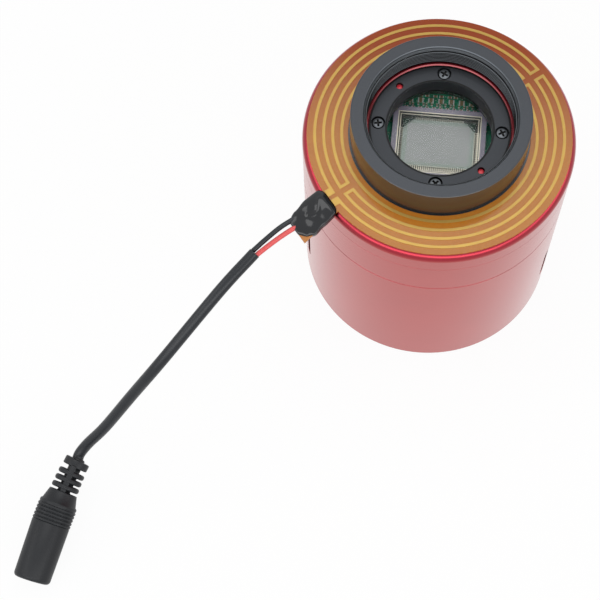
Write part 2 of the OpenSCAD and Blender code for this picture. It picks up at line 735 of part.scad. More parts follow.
module power_jack() {
    color(BLACK) translate([jack_x - 4.5, port_y, port_z]) difference() {
        cube([9, 11, 14]);
        translate([4.5, 5.5, -1]) cylinder(d = 6.4, h = 11);
    }
}

module power_pin() {
    color(STEEL) translate([jack_x, port_y + 5.5, port_z + 1.4]) cylinder(d = 2.1, h = 8.6, $fn = 32);
}

rear_shell();
rear_cover();
tie_bolts();
chamber_body();
front_plate();
front_screws();
lens_collar();
window_cell();
window_glass();
window_gasket();
cell_screws();
heater_film();
heater_tracks();
terminal();
wire_red();
wire_black();
lead_jacket();
socket_moulding();
socket_sleeve();
socket_pin();
sensor_package();
sensor_die();
sensor_glass();
sensor_board();
sensor_board_parts();
board_standoffs();
board_screws();
desiccant_tablets();
cold_finger();
tec_upper();
tec_lower();
tec_foam();
chamber_o_ring();
base_o_ring();
heat_sink();
sink_screws();
fan_frame();
fan_rotor();
fan_magnet();
fan_shaft();
fan_bearing();
fan_stator();
fan_screws();
main_board();
main_board_chips();
usb_port();
usb_tongue();
hub_ports();
hub_tongues();
power_jack();
power_pin();
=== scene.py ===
# %% [markdown]
# # A cooled astronomy camera, dressed in Blender
# The CAD model is loaded as a fixed frame in metres, with +Z along the camera's optical axis. Solids whose
# shape is right keep their mesh and get a finish. Pieces with a softer or finer form are modelled here and
# stand for their CAD solid. Sizes below are written in millimetres and turned to metres with MM.

# %% Frame
import math
import bmesh
import bpy
from mathutils import Matrix, Vector, noise


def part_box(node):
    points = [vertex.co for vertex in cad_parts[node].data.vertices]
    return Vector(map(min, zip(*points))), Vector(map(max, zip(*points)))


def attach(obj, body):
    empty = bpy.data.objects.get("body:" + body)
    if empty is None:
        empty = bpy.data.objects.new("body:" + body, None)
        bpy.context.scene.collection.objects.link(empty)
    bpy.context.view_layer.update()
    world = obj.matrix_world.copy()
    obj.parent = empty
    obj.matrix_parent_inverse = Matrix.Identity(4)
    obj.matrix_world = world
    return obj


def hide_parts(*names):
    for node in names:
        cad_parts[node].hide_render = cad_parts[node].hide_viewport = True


MM = 0.001
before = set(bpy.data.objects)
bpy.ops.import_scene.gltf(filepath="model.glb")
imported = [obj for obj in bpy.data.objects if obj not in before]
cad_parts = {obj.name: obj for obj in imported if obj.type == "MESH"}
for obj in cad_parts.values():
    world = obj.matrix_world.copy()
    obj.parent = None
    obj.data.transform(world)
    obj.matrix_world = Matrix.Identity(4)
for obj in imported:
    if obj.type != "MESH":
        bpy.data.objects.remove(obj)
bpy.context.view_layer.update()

# %% [markdown]
# ## Camera
# The photograph looks steeply down at the front of the camera, and is tipped by a few degrees. Its
# viewpoint was worked out from the rim, the collar and the lead's socket. A camera could be aimed with a
# constraint, but writing its three axes is exact.

# %% Camera
azimuth, elevation, roll = (math.radians(a) for a in (9.3, 67.996, -3.509))
distance, focal_length = 457.051, 93.495
back = Vector((math.sin(azimuth) * math.cos(elevation), -math.cos(azimuth) * math.cos(elevation),
               math.sin(elevation)))
level = Vector((math.cos(azimuth), math.sin(azimuth), 0))
right = Matrix.Rotation(roll, 3, back) @ level
up = back.cross(right)
aim = Vector((-35.973, -42.535, 45.0)) * MM
lens = bpy.data.cameras.new("photo_view")
lens.sensor_width, lens.lens = 36, focal_length
lens.clip_start, lens.clip_end = 0.01, 20
eye = bpy.data.objects.new("photo_view", lens)
turn = Matrix((right, up, back)).transposed().to_4x4()
eye.matrix_world = Matrix.Translation(aim + back * distance * MM) @ turn
bpy.context.scene.collection.objects.link(eye)
bpy.context.scene.camera = eye
bpy.context.scene.view_settings.view_transform = "Standard"
print("camera at", [round(x / MM, 1) for x in eye.matrix_world.translation])

# %% [markdown]
# ## Nodes and colours
# Each finish is a small node tree. One function adds a node, sets its values and joins its inputs, so that
# a finish reads as a recipe. Colours are written as sRGB hex values, as a paint chart gives them, and
# turned to the linear values that a shader wants.

# %% Node helpers
def linear(code):
    """Linear colour of an sRGB hex value."""
    parts = [int(code[i:i + 2], 16) / 255 for i in (1, 3, 5)]
    return [c / 12.92 if c <= 0.04045 else ((c + 0.055) / 1.055) ** 2.4 for c in parts] + [1]


def add(mat, kind, sockets=None, **settings):
    """Adds a node. A socket's value is a number, a colour or the output of another node."""
    made = mat.node_tree.nodes.new("ShaderNode" + kind)
    for key, value in settings.items():
        setattr(made, key, value)
    for key, value in (sockets or {}).items():
        if isinstance(value, bpy.types.NodeSocket):
            mat.node_tree.links.new(value, made.inputs[key])
        else:
            made.inputs[key].default_value = value
    return made


def start(name, sockets):
    """A new material with its shader's plain values set, and the place on the piece as a vector."""
    mat = bpy.data.materials.new(name)
    mat.use_nodes = True
    shader = mat.node_tree.nodes["Principled BSDF"]
    for key, value in sockets.items():
        shader.inputs[key].default_value = value
    place = add(mat, "TexCoord").outputs["Object"]
    return mat, shader, place


print("node helpers ready")

# %% [markdown]
# ## Finishes of the body
# The body is turned aluminium, bead blasted, then dyed red in an anodising bath and sealed. The dye sits in
# a clear oxide layer over the metal. A metal base with a clear coat gives that: deep red where it is seen
# square on, and a pale sheen where it is seen at a slant. The blasted grain is about 0.2 mm, and is drawn
# at 0.35 mm so that it shows.

# %% Red anodised aluminium
SEAMS = ((54.0, 0.2), (67.5, 0.08))     # heights and half widths
RIM_SHADE_HEIGHTS = (72.6, 73.8)                      # heights between which the barrel turns into the rim
BORE_R, BORE_TOP = 26.4, 76.1           # inside this radius and below this height is the masked bore


def red_anodised():
    mat, shader, place = start("red_anodised_aluminium", {
        "Coat Weight": 0.65, "Coat IOR": 1.5, "Coat Roughness": 0.24})
    link = mat.node_tree.links.new
    axes = add(mat, "SeparateXYZ", {0: place})
    flat = add(mat, "CombineXYZ", {"X": axes.outputs["X"], "Y": axes.outputs["Y"]})
    radius = add(mat, "VectorMath", {0: flat.outputs[0]}, operation="LENGTH")
    grain = add(mat, "TexNoise", {"Vector": place, "Scale": 1 / (0.35 * MM), "Detail": 2.0})
    cloud = add(mat, "TexNoise", {"Vector": place, "Scale": 1 / (18 * MM), "Detail": 2.0})
    dye = add(mat, "Mix", {0: cloud.outputs["Fac"], 6: linear("#AA302C"), 7: linear("#B63632")},
              data_type="RGBA")
    # The rim is painted a darker, deeper crimson than the barrel: painted shade and painted reflection of its
    # curve.
    edge = add(mat, "MapRange", {"Value": axes.outputs["Z"], "From Min": RIM_SHADE_HEIGHTS[0] * MM,
                                 "From Max": RIM_SHADE_HEIGHTS[1] * MM})
    dye = add(mat, "Mix", {0: edge.outputs[0], 6: dye.outputs[2], 7: linear("#9A1429")}, data_type="RGBA")
    # The bores round the sensor are masked and dyed black, so that no light is thrown back at it.
    inside = add(mat, "Math", {0: radius.outputs["Value"], 1: BORE_R * MM}, operation="LESS_THAN")
    below = add(mat, "Math", {0: axes.outputs["Z"], 1: BORE_TOP * MM}, operation="LESS_THAN")
    bore = add(mat, "Math", {0: inside.outputs[0], 1: below.outputs[0]}, operation="MULTIPLY")
    # Inside the collar the ring and the plate's face are painted a darker red: painted shade in the collar's
    # well.
    ring_painted_shade = add(mat, "Mix", {0: inside.outputs[0], 6: dye.outputs[2], 7: linear("#7C1420")}, data_type="RGBA")
    masked = add(mat, "Mix", {0: bore.outputs[0], 6: ring_painted_shade.outputs[2], 7: linear("#202426")},
                 data_type="RGBA")
    # The two seams are painted darker: painted shade in the joints.
    lower, upper = (add(mat, "Math", {0: axes.outputs["Z"], 1: z * MM, 2: half * MM}, operation="COMPARE")
                    for z, half in SEAMS)
    seam_painted_shade = add(mat, "Math", {0: lower.outputs[0], 1: upper.outputs[0]}, operation="MAXIMUM")
    outer = add(mat, "Math", {0: seam_painted_shade.outputs[0], 1: inside.outputs[0]}, operation="SUBTRACT",
                use_clamp=True)
    shaded = add(mat, "Mix", {0: outer.outputs[0], 6: masked.outputs[2], 7: linear("#8A1C24")},
                 data_type="RGBA")
    link(shaded.outputs[2], shader.inputs["Base Color"])
    # The fresh cut inside the collar scatters more than the polished skin outside.
    skin = add(mat, "MapRange", {"Value": inside.outputs[0], "To Min": 1.0, "To Max": 0.55})
    link(skin.outputs[0], shader.inputs["Metallic"])
    satin = add(mat, "MapRange", {"Value": grain.outputs["Fac"], "To Min": 0.2, "To Max": 0.27})
    link(satin.outputs[0], shader.inputs["Roughness"])
    bump = add(mat, "Bump", {"Height": grain.outputs["Fac"], "Distance": 0.002 * MM, "Strength": 0.2})
    link(bump.outputs[0], shader.inputs["Normal"])
    return mat


RED_BODY = red_anodised()
print("made", RED_BODY.name)

# %% [markdown]
# The collar and the window cell are dyed black, and the lathe left fine rings on them. Black anodising
# looks slate grey under a bright sky, because the oxide scatters. A wave on the distance from the axis
# draws the rings; real feed marks are about 0.1 mm apart, and 0.35 mm is used so that they show. Bands by
# distance from the axis paint light and shade: the mouth's wall and the thread's flanks are painted paler,
# as painted light where they lie in shade, the mouth's edge gets a painted highlight line, and the thread's
# roots and crests and the gaps round the window cell are painted near black, as painted shade.

# %% Black anodised aluminium
FEED = 0.35


def black_anodised(name, low, high, rings, metallic, bands=(), sealed=None):
    """bands are (inner radius, outer radius, colour). Outside the radius sealed there is a clear coat."""
    mat, shader, place = start(name, {"Metallic": metallic, "Coat IOR": 1.8, "Coat Roughness": 0.22})
    link = mat.node_tree.links.new
    axes = add(mat, "SeparateXYZ", {0: place})
    flat = add(mat, "CombineXYZ", {"X": axes.outputs["X"], "Y": axes.outputs["Y"]})
    radius = add(mat, "VectorMath", {0: flat.outputs[0]}, operation="LENGTH")
    height = add(mat, "Math", {0: axes.outputs["Z"], 1: radius.outputs["Value"]}, operation="ADD")
    turns = add(mat, "Math", {0: height.outputs[0], 1: 2 * math.pi / (FEED * MM)}, operation="MULTIPLY")
    ring = add(mat, "Math", {0: turns.outputs[0]}, operation="SINE")
    grain = add(mat, "TexNoise", {"Vector": place, "Scale": 1 / (0.5 * MM), "Detail": 3.0})
    tint = add(mat, "Mix", {0: grain.outputs["Fac"], 6: linear(low), 7: linear(high)}, data_type="RGBA")
    colour = tint.outputs[2]
    for inner, outer, code in bands:
        middle, half = (inner + outer) / 2 * MM, (outer - inner) / 2 * MM
        band = add(mat, "Math", {0: radius.outputs["Value"], 1: middle, 2: half}, operation="COMPARE")
        tint = add(mat, "Mix", {0: band.outputs[0], 6: colour, 7: linear(code)}, data_type="RGBA")
        colour = tint.outputs[2]
    link(colour, shader.inputs["Base Color"])
    if sealed:
        # The clear layer on the outer wall mirrors what lies beside it.
        clear = add(mat, "Math", {0: radius.outputs["Value"], 1: sealed * MM}, operation="GREATER_THAN")
        link(clear.outputs[0], shader.inputs["Coat Weight"])
    satin = add(mat, "MapRange", {"Value": grain.outputs["Fac"], "To Min": 0.36, "To Max": 0.48})
    link(satin.outputs[0], shader.inputs["Roughness"])
    both = add(mat, "Math", {0: ring.outputs[0], 1: rings, 2: grain.outputs["Fac"]}, operation="MULTIPLY_ADD")
    bump = add(mat, "Bump", {"Height": both.outputs[0], "Distance": 0.006 * MM, "Strength": 0.5})
    link(bump.outputs[0], shader.inputs["Normal"])
    return mat


# Painted light and shade on the collar: the paler wall and flanks are painted light, the dark thread band is
# painted shade, and the pale line on the mouth's edge is a painted highlight.
wall_painted_light, thread_painted_shade, flank_painted_light, edge_painted_highlight = ((0, 21.6, "#7D8287"), (20.5, 21.26, "#0C0D0E"),
                                         (20.86, 21.03, "#5A5E62"), (21.7, 21.95, "#5E6368"))
# The window cell's gaps are painted near black: painted shade.
outer_gap_painted_shade, aperture_gap_painted_shade = (19.55, 20.1, "#0B0C0D"), (14.95, 15.45, "#0B0C0D")
BLACK_COLLAR = black_anodised("black_anodised_turned", "#393B3F", "#414448", 0.5, 0.8,
                              (wall_painted_light, thread_painted_shade, flank_painted_light, edge_painted_highlight), sealed=25.3)
BLACK_CELL = black_anodised("black_anodised_cell", "#2D2F33", "#34373B", 0.3, 0.7, (outer_gap_painted_shade, aperture_gap_painted_shade))
BLACK_COVER = black_anodised("black_anodised_blasted", "#2C2E32", "#36393C", 0.0, 0.6)
print("made", BLACK_COLLAR.name, BLACK_CELL.name, BLACK_COVER.name)

# %% [markdown]
# ## Heater finishes
# The dew heater is a sandwich of two polyimide films with copper strips between them. Polyimide is amber
# and glossy, and it lies over red metal, so it looks orange where the sky isn't mirrored in it. It is
# slightly uneven, which a slow noise shows. The strips look golden through the film.

# %% Polyimide film
def polyimide():
    mat, shader, place = start("polyimide_film", {"Roughness": 0.13, "IOR": 1.4})
    link = mat.node_tree.links.new
    cloud = add(mat, "TexNoise", {"Vector": place, "Scale": 1 / (9 * MM), "Detail": 4.0})
    speck = add(mat, "TexNoise", {"Vector": place, "Scale": 1 / (0.7 * MM), "Detail": 2.0})
    tone = add(mat, "Mix", {0: cloud.outputs["Fac"], 6: linear("#AB6412"), 7: linear("#B9751A")},
               data_type="RGBA")
    fleck = add(mat, "MapRange", {"Value": speck.outputs["Fac"], "From Min": 0.45, "From Max": 0.75,
                                  "To Max": 0.25})
    mixed = add(mat, "Mix", {0: fleck.outputs[0], 6: tone.outputs[2], 7: linear("#C48028")}, data_type="RGBA")
    # Towards the back the film is painted a deeper orange: painted shade where it mirrors little light.
    axes = add(mat, "SeparateXYZ", {0: place})
    drift = add(mat, "Math", {0: cloud.outputs["Fac"], 1: 16 * MM, 2: axes.outputs["Y"]},
                operation="MULTIPLY_ADD")
    toward_back = add(mat, "MapRange", {"Value": drift.outputs[0], "From Min": 4 * MM, "From Max": 36 * MM})
    back_painted_shade = add(mat, "Mix", {0: toward_back.outputs[0], 6: mixed.outputs[2], 7: linear("#9A3C00")},
                data_type="RGBA")
    link(back_painted_shade.outputs[2], shader.inputs["Base Color"])
    bump = add(mat, "Bump", {"Height": cloud.outputs["Fac"], "Distance": 0.05 * MM, "Strength": 0.35})
    link(bump.outputs[0], shader.inputs["Normal"])
    return mat


FILM = polyimide()
print("made", FILM.name)

# %% Copper strips
def copper_strip():
    mat, shader, place = start("copper_under_film", {"Metallic": 0.45, "Roughness": 0.3})
    link = mat.node_tree.links.new
    cloud = add(mat, "TexNoise", {"Vector": place, "Scale": 1 / (3 * MM), "Detail": 3.0})
    tone = add(mat, "Mix", {0: cloud.outputs["Fac"], 6: linear("#A4803A"), 7: linear("#B49242")},
               data_type="RGBA")
    link(tone.outputs[2], shader.inputs["Base Color"])
    bump = add(mat, "Bump", {"Height": cloud.outputs["Fac"], "Distance": 0.02 * MM, "Strength": 0.3})
    link(bump.outputs[0], shader.inputs["Normal"])
    return mat


STRIP = copper_strip()
print("made", STRIP.name)

# %% [markdown]
# ## Plastics, metals and ceramics
# The other finishes differ mainly in colour, gloss and the size of their grain, so one recipe serves them
# all: moulded plastics with a fine spark-eroded grain, the soft skin of the cable, nickel, copper and
# ceramics. Each line gives two colours, the grain's size and height, the shader's values, and the range of
# roughness.

# %% Recipe of a grained finish
def grained(name, low, high, grain, depth, sockets, rough=(0.4, 0.5)):
    """A finish with a fine grain: grain is the size of its patches and depth their height, in millimetres."""
    mat, shader, place = start(name, sockets)
    link = mat.node_tree.links.new
    patch = add(mat, "TexNoise", {"Vector": place, "Scale": 1 / (grain * MM), "Detail": 3.0,
                                  "Roughness": 0.6})
    tint = add(mat, "Mix", {0: patch.outputs["Fac"], 6: linear(low), 7: linear(high)}, data_type="RGBA")
    link(tint.outputs[2], shader.inputs["Base Color"])
    wear = add(mat, "MapRange", {"Value": patch.outputs["Fac"], "To Min": rough[0], "To Max": rough[1]})
    link(wear.outputs[0], shader.inputs["Roughness"])
    bump = add(mat, "Bump", {"Height": patch.outputs["Fac"], "Distance": depth * MM, "Strength": 0.6})
    link(bump.outputs[0], shader.inputs["Normal"])
    return mat


print("recipe ready")

# %% Grained finishes
MOULDED = grained("black_soft_moulding", "#0E1014", "#16191D", 0.5, 0.01, {"IOR": 1.4}, (0.4, 0.52))
CABLE = grained("black_cable_skin", "#13161B", "#1C2025", 1.2, 0.004, {"IOR": 1.42}, (0.3, 0.4))
RED_SKIN = grained("red_wire_skin", "#D54A49", "#E45C5C", 1.0, 0.003, {"IOR": 1.5}, (0.3, 0.4))
POTTED = grained("black_shrink_wrap", "#0E1014", "#15181C", 2.5, 0.006, {"IOR": 1.48}, (0.1, 0.15))
RUBBER = grained("black_rubber_seal", "#121213", "#1A1A1B", 0.4, 0.01, {"IOR": 1.5}, (0.6, 0.75))
NICKEL = grained("nickel_plate", "#B4B6B8", "#C6C8CA", 0.6, 0.003, {"Metallic": 1.0}, (0.24, 0.34))
ZINC = grained("grey_zinc_screw", "#6A6E73", "#7F8388", 0.3, 0.006, {"Metallic": 0.7}, (0.34, 0.46))
FINS = grained("extruded_aluminium", "#BFC1C3", "#CED0D1", 0.8, 0.006, {"Metallic": 1.0}, (0.3, 0.42))
COPPER = grained("machined_copper", "#B4714A", "#C98A60", 0.7, 0.004, {"Metallic": 1.0}, (0.28, 0.4))
BRONZE = grained("sintered_bronze", "#A3814A", "#B8965A", 0.3, 0.008, {"Metallic": 1.0}, (0.4, 0.5))
FERRITE = grained("ferrite_magnet", "#3A3836", "#464341", 0.4, 0.01, {"Metallic": 0.3}, (0.5, 0.6))
ALUMINA = grained("white_alumina", "#D9D8D2", "#E6E5E0", 0.5, 0.006, {"IOR": 1.7}, (0.45, 0.6))
CHIP = grained("black_epoxy", "#1B1B1D", "#242427", 0.3, 0.008, {"IOR": 1.5}, (0.5, 0.62))
FAN = grained("black_glass_filled_plastic", "#161618", "#202022", 0.6, 0.01, {"IOR": 1.5}, (0.36, 0.5))
NYLON = grained("white_nylon", "#DAD9CF", "#E6E5DC", 0.8, 0.01, {"IOR": 1.53, "Subsurface Weight": 0.1},
                (0.4, 0.5))
BLUE = grained("blue_moulding", "#1C4A9E", "#2557AF", 0.5, 0.006, {"IOR": 1.5}, (0.4, 0.5))
GILT = grained("gold_flash", "#DAD3BA", "#F0EBDC", 0.3, 0.003, {"Metallic": 0.2}, (0.3, 0.4))
SOLDER = grained("tin_end", "#EEF0EE", "#FAFAF8", 0.2, 0.004, {"Metallic": 0.25}, (0.3, 0.42))
CERAMIC_CHIP = grained("tan_ceramic_chip", "#8E7A5C", "#AE9974", 0.2, 0.004, {"IOR": 1.6}, (0.45, 0.55))
print("finishes so far:", len(bpy.data.materials))

# %% [markdown]
# The boards are glass fibre under a green solder mask, with copper tracks that show as a paler green, and
# small tinned pads. Long cells from a brick pattern give rows of tracks; a fine cell pattern gives the
# pads.

# %% Circuit board
def solder_mask():
    mat, shader, place = start("green_solder_mask", {"IOR": 1.5, "Roughness": 0.3, "Coat Weight": 0.3})
    link = mat.node_tree.links.new
    # The greens are painted brighter than the mask's own colour: painted light for the board deep in the
    # chamber.
    tracks = add(mat, "TexBrick", {"Vector": place, "Color1": linear("#2E9670"), "Color2": linear("#3EB48A"),
                                   "Mortar": linear("#1F7454"), "Scale": 1 / (1.6 * MM), "Mortar Size": 0.03,
                                   "Brick Width": 1.9, "Row Height": 0.45})
    pads = add(mat, "TexVoronoi", {"Vector": place, "Scale": 1 / (1.1 * MM)}, feature="F1")
    dot = add(mat, "Math", {0: pads.outputs["Distance"], 1: 0.14}, operation="LESS_THAN")
    tone = add(mat, "Mix", {0: dot.outputs[0], 6: tracks.outputs["Color"], 7: linear("#E6ECDD")},
               data_type="RGBA")
    link(tone.outputs[2], shader.inputs["Base Color"])
    bump = add(mat, "Bump", {"Height": tracks.outputs["Fac"], "Distance": 0.03 * MM, "Strength": 0.4})
    link(bump.outputs[0], shader.inputs["Normal"])
    return mat


BOARD = solder_mask()
print("made", BOARD.name)

# %% [markdown]
# The sensor's package is fired ceramic, a matt purple grey. The silicon in it is polished and covered with
# tiny lenses, so it mirrors the sky as a soft grey, with a greener border. The window has an
# anti-reflection coating and is nearly invisible, so most of the light goes straight through it and only a
# weak gloss is left.

# %% Package ceramic
WELL = (69.0, 69.15)                    # heights between which the package's well turns into its upper face


def package_ceramic():
    mat, shader, place = start("purple_grey_ceramic", {"IOR": 1.7})
    link = mat.node_tree.links.new
    axes = add(mat, "SeparateXYZ", {0: place})
    grain = add(mat, "TexNoise", {"Vector": place, "Scale": 1 / (0.4 * MM), "Detail": 3.0})
    tone = add(mat, "Mix", {0: grain.outputs["Fac"], 6: linear("#7E7A8A"), 7: linear("#8F8A9C")},
               data_type="RGBA")
    # Below its upper face the package is a dark green well.
    well = add(mat, "MapRange", {"Value": axes.outputs["Z"], "From Min": WELL[0] * MM,
                                 "From Max": WELL[1] * MM})
    deep = add(mat, "Mix", {0: well.outputs[0], 6: linear("#141E1A"), 7: tone.outputs[2]}, data_type="RGBA")
    link(deep.outputs[2], shader.inputs["Base Color"])
    matt = add(mat, "MapRange", {"Value": grain.outputs["Fac"], "To Min": 0.4, "To Max": 0.55})
    link(matt.outputs[0], shader.inputs["Roughness"])
    bump = add(mat, "Bump", {"Height": grain.outputs["Fac"], "Distance": 0.008 * MM, "Strength": 0.5})
    link(bump.outputs[0], shader.inputs["Normal"])
    return mat


PACKAGE = package_ceramic()
print("made", PACKAGE.name)

# %% Silicon
def silicon(name, low, high, rough, border=None):
    """border is a colour and the half sizes of the lit field that it surrounds."""
    mat, shader, place = start(name, {"Metallic": 0.55, "Roughness": rough, "IOR": 1.8})
    cloud = add(mat, "TexNoise", {"Vector": place, "Scale": 1 / (7 * MM), "Detail": 2.0})
    tone = add(mat, "Mix", {0: cloud.outputs["Fac"], 6: linear(low), 7: linear(high)}, data_type="RGBA")
    if border:
        code, *halves = border
        axes = add(mat, "SeparateXYZ", {0: place})
        across, along = (add(mat, "Math", {0: axes.outputs[i], 1: 0.0, 2: half * MM}, operation="COMPARE")
                         for i, half in enumerate(halves))
        lit = add(mat, "Math", {0: across.outputs[0], 1: along.outputs[0]}, operation="MULTIPLY")
        tone = add(mat, "Mix", {0: lit.outputs[0], 6: linear(code), 7: tone.outputs[2]}, data_type="RGBA")
    mat.node_tree.links.new(tone.outputs[2], shader.inputs["Base Color"])
    return mat


PIXELS = silicon("microlens_silicon", "#777A79", "#818382", 0.3, ("#6F7A73", 9.1, 6.3))
DIE = silicon("dark_green_silicon", "#12281F", "#1C3A2C", 0.25)
print("made", PIXELS.name, DIE.name)

# %% Coated glass
def coated_glass():
    mat, shader, place = start("coated_glass", {
        "Base Color": linear("#F4FAFA"), "IOR": 1.45, "Transmission Weight": 1.0, "Alpha": 0.06})
    haze = add(mat, "TexNoise", {"Vector": place, "Scale": 1 / (12 * MM), "Detail": 1.0})
    mist = add(mat, "MapRange", {"Value": haze.outputs["Fac"], "To Min": 0.01, "To Max": 0.04})
    mat.node_tree.links.new(mist.outputs[0], shader.inputs["Roughness"])
    return mat


GLASS = coated_glass()
print("made", GLASS.name)

# %% [markdown]
# ## Finishes on the CAD solids
# Solids that keep their shape only get a material. The table lists each finish with its solids.

# %% Dress the CAD solids
dress = {
    RED_BODY: "rear_shell chamber_body front_plate",
    BLACK_COVER: "rear_cover", BLACK_CELL: "window_cell", BLACK_COLLAR: "lens_collar",
    FILM: "heater_film", STRIP: "heater_tracks", GLASS: "window_glass sensor_glass",
    RUBBER: "window_gasket chamber_o_ring base_o_ring tec_foam",
    NICKEL: "usb_port hub_ports power_pin socket_sleeve socket_pin fan_shaft",
    ZINC: "cell_screws front_screws tie_bolts board_screws sink_screws fan_screws",
    PACKAGE: "sensor_package", DIE: "sensor_die", BOARD: "sensor_board main_board",
    CERAMIC_CHIP: "sensor_board_parts", NYLON: "board_standoffs",
    ALUMINA: "tec_upper tec_lower desiccant_tablets",
    COPPER: "cold_finger fan_stator", FINS: "heat_sink", FAN: "fan_frame fan_rotor", FERRITE: "fan_magnet",
    BRONZE: "fan_bearing", CHIP: "main_board_chips power_jack", BLUE: "usb_tongue hub_tongues",
    MOULDED: "socket_moulding", CABLE: "wire_black lead_jacket", RED_SKIN: "wire_red", POTTED: "terminal",
}
for mat, names in dress.items():
    for name in names.split():
        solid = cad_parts[name]
        solid.data.materials.clear()
        solid.data.materials.append(mat)
dressed = " ".join(dress.values()).split()
print("dressed", len(dressed), "solids; bare:", sorted(set(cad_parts) - set(dressed)))

# %% [markdown]
# ## Making a piece
# Every new piece is a bmesh that becomes an object at the origin, with its place in its mesh. It rides on
# the camera's body. Edges sharper than 35 degrees stay crisp.

# %% Piece helper
def piece(name, bm, mat, slot, *stands_for, body="camera", crease=35):
    """Turns a bmesh into a finished piece that stands for the CAD nodes named last."""
    bmesh.ops.remove_doubles(bm, verts=bm.verts, dist=1e-7)
    bmesh.ops.recalc_face_normals(bm, faces=bm.faces)
    mesh = bpy.data.meshes.new(name)
    bm.to_mesh(mesh)
    bm.free()
    for face in mesh.polygons:
        face.use_smooth = True
    mesh.set_sharp_from_angle(angle=math.radians(crease))
    mesh.materials.append(mat)
    made = bpy.data.objects.new(name, mesh)
    bpy.context.scene.collection.objects.link(made)
    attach(made, body)
    if stands_for:
        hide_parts(*stands_for)
    print(name, len(mesh.polygons), "faces")
    return made


print("piece helper ready")

# %% [markdown]
# ## Lens collar
# The collar is turned from bar and has a female M42 thread with a pitch of 0.75 mm. Its body is an outline
# spun about the axis. The thread is a real helix: a small flat-topped ridge is spun for seven turns while
# it climbs, which is how a tap leaves it. A stack of plain rings would look alike from afar, but not at the
# thread's start.

# %% Turned outline
def turned(bm, outline, steps=128, closed=True):
    """Spins an outline of (radius, height) points in millimetres about Z."""
    ring = [bm.verts.new((r * MM, 0, z * MM)) for r, z in outline]
    edges = [bm.edges.new(pair) for pair in zip(ring, ring[1:])]
    if closed:
        edges.append(bm.edges.new((ring[-1], ring[0])))
    bmesh.ops.spin(bm, geom=ring + edges, cent=(0, 0, 0), axis=(0, 0, 1), angle=2 * math.pi, steps=steps,
                   use_merge=True)


print("turning helper ready")

# %% Collar and its thread
PITCH, TURNS, STEPS = 0.75, 7, 96       # the thread's pitch and turns, and the steps in each turn
OUTLINE = [(25.28, 75), (25.4, 75.12), (25.4, 85.62), (25.37, 85.82), (25.26, 85.94), (25.06, 86), (24.9, 86),
           (22.1, 86), (21.95, 86), (21.72, 85.78), (21.68, 85.7), (21.3, 84.9), (21.25, 84.75), (21.25, 75)]
RIDGE = [(21.29, 79.15), (20.78, 79.4), (20.76, 79.48), (20.78, 79.56), (21.29, 79.82)]
bm = bmesh.new()
turned(bm, OUTLINE, 192)
ridge = [bm.verts.new((r * MM, 0, z * MM)) for r, z in RIDGE]
edges = [bm.edges.new((ridge[i], ridge[i - 1])) for i in range(len(ridge))]
bmesh.ops.spin(bm, geom=ridge + edges, cent=(0, 0, 0), axis=(0, 0, 1), angle=2 * math.pi * TURNS,
               steps=STEPS * TURNS, dvec=(0, 0, PITCH / STEPS * MM))
bmesh.ops.holes_fill(bm, edges=[e for e in bm.edges if e.is_boundary], sides=0)
piece("lens_collar_threaded", bm, BLACK_COLLAR, "black_anodised", "lens_collar", crease=28)

# %% [markdown]
# ## Cell screws
# Four small cross-head screws hold the window cell. A head is a domed disc spun about its axis. Planes cut
# the dome into a grid, the faces of the cross are pushed down and narrowed, and that gives the tapered
# recess that a screwdriver needs.

# %% One cross-head screw
def merge(bm, part):
    """Moves one bmesh into another."""
    mesh = bpy.data.meshes.new("part")
    part.to_mesh(mesh)
    part.free()
    bm.from_mesh(mesh)
    bpy.data.meshes.remove(mesh)


def cross_screw(bm, at, head, shank, turn):
    """Head and shank are a radius and a length; at is the middle of the head's top."""
    one = bmesh.new()
    r, h = head
    turned(one, [(0, 0.0), (r * 0.45, -0.02), (r * 0.72, -0.08), (r * 0.9, -0.2), (r, -0.42), (r, -h),
                 (shank[0], -h), (shank[0], -shank[1]), (0, -shank[1])], 40, closed=False)
    bmesh.ops.remove_doubles(one, verts=one.verts, dist=1e-7)
    half_arm, reach = 0.19 * r, 0.68 * r
    for axis in (Vector((1, 0, 0)), Vector((0, 1, 0))):
        for d in (-reach, -half_arm, half_arm, reach):
            bmesh.ops.bisect_plane(one, geom=one.verts[:] + one.edges[:] + one.faces[:],
                                   plane_co=axis * d * MM, plane_no=axis, dist=1e-8)
    one.normal_update()
    dome, cross = -0.3, []
    for face in one.faces:
        x, y, z = face.calc_center_median() / MM
        arm = min(abs(x), abs(y)) < half_arm and max(abs(x), abs(y)) < reach
        if arm and z > dome:
            cross.append(face)
    deep = bmesh.ops.extrude_face_region(one, geom=cross)["geom"]
    bmesh.ops.delete(one, geom=cross, context="FACES")
    bottom, rise, taper = -0.75 * h, 0.35, 0.8
    for v in deep:
        if isinstance(v, bmesh.types.BMVert):
            v.co.z = bottom * MM + rise * v.co.xy.length
            v.co.x *= taper
            v.co.y *= taper
    bmesh.ops.rotate(one, verts=one.verts, cent=(0, 0, 0), matrix=Matrix.Rotation(turn, 3, "Z"))
    bmesh.ops.translate(one, verts=one.verts, vec=Vector(at) * MM)
    bmesh.ops.recalc_face_normals(one, faces=one.faces)
    merge(bm, one)


print("screw helper ready")

# %% Cell screws
CELL_CIRCLE, HEAD_TOP = 17.505, 78.52   # distance of screws and pins from the axis, and the heads' height
# Below the next heights each head is painted near black: painted shade in its recess and in the gap round it.
HEAD_SHADE_HEIGHTS = (78.24, 78.36)                 # heights between which the dirt ends


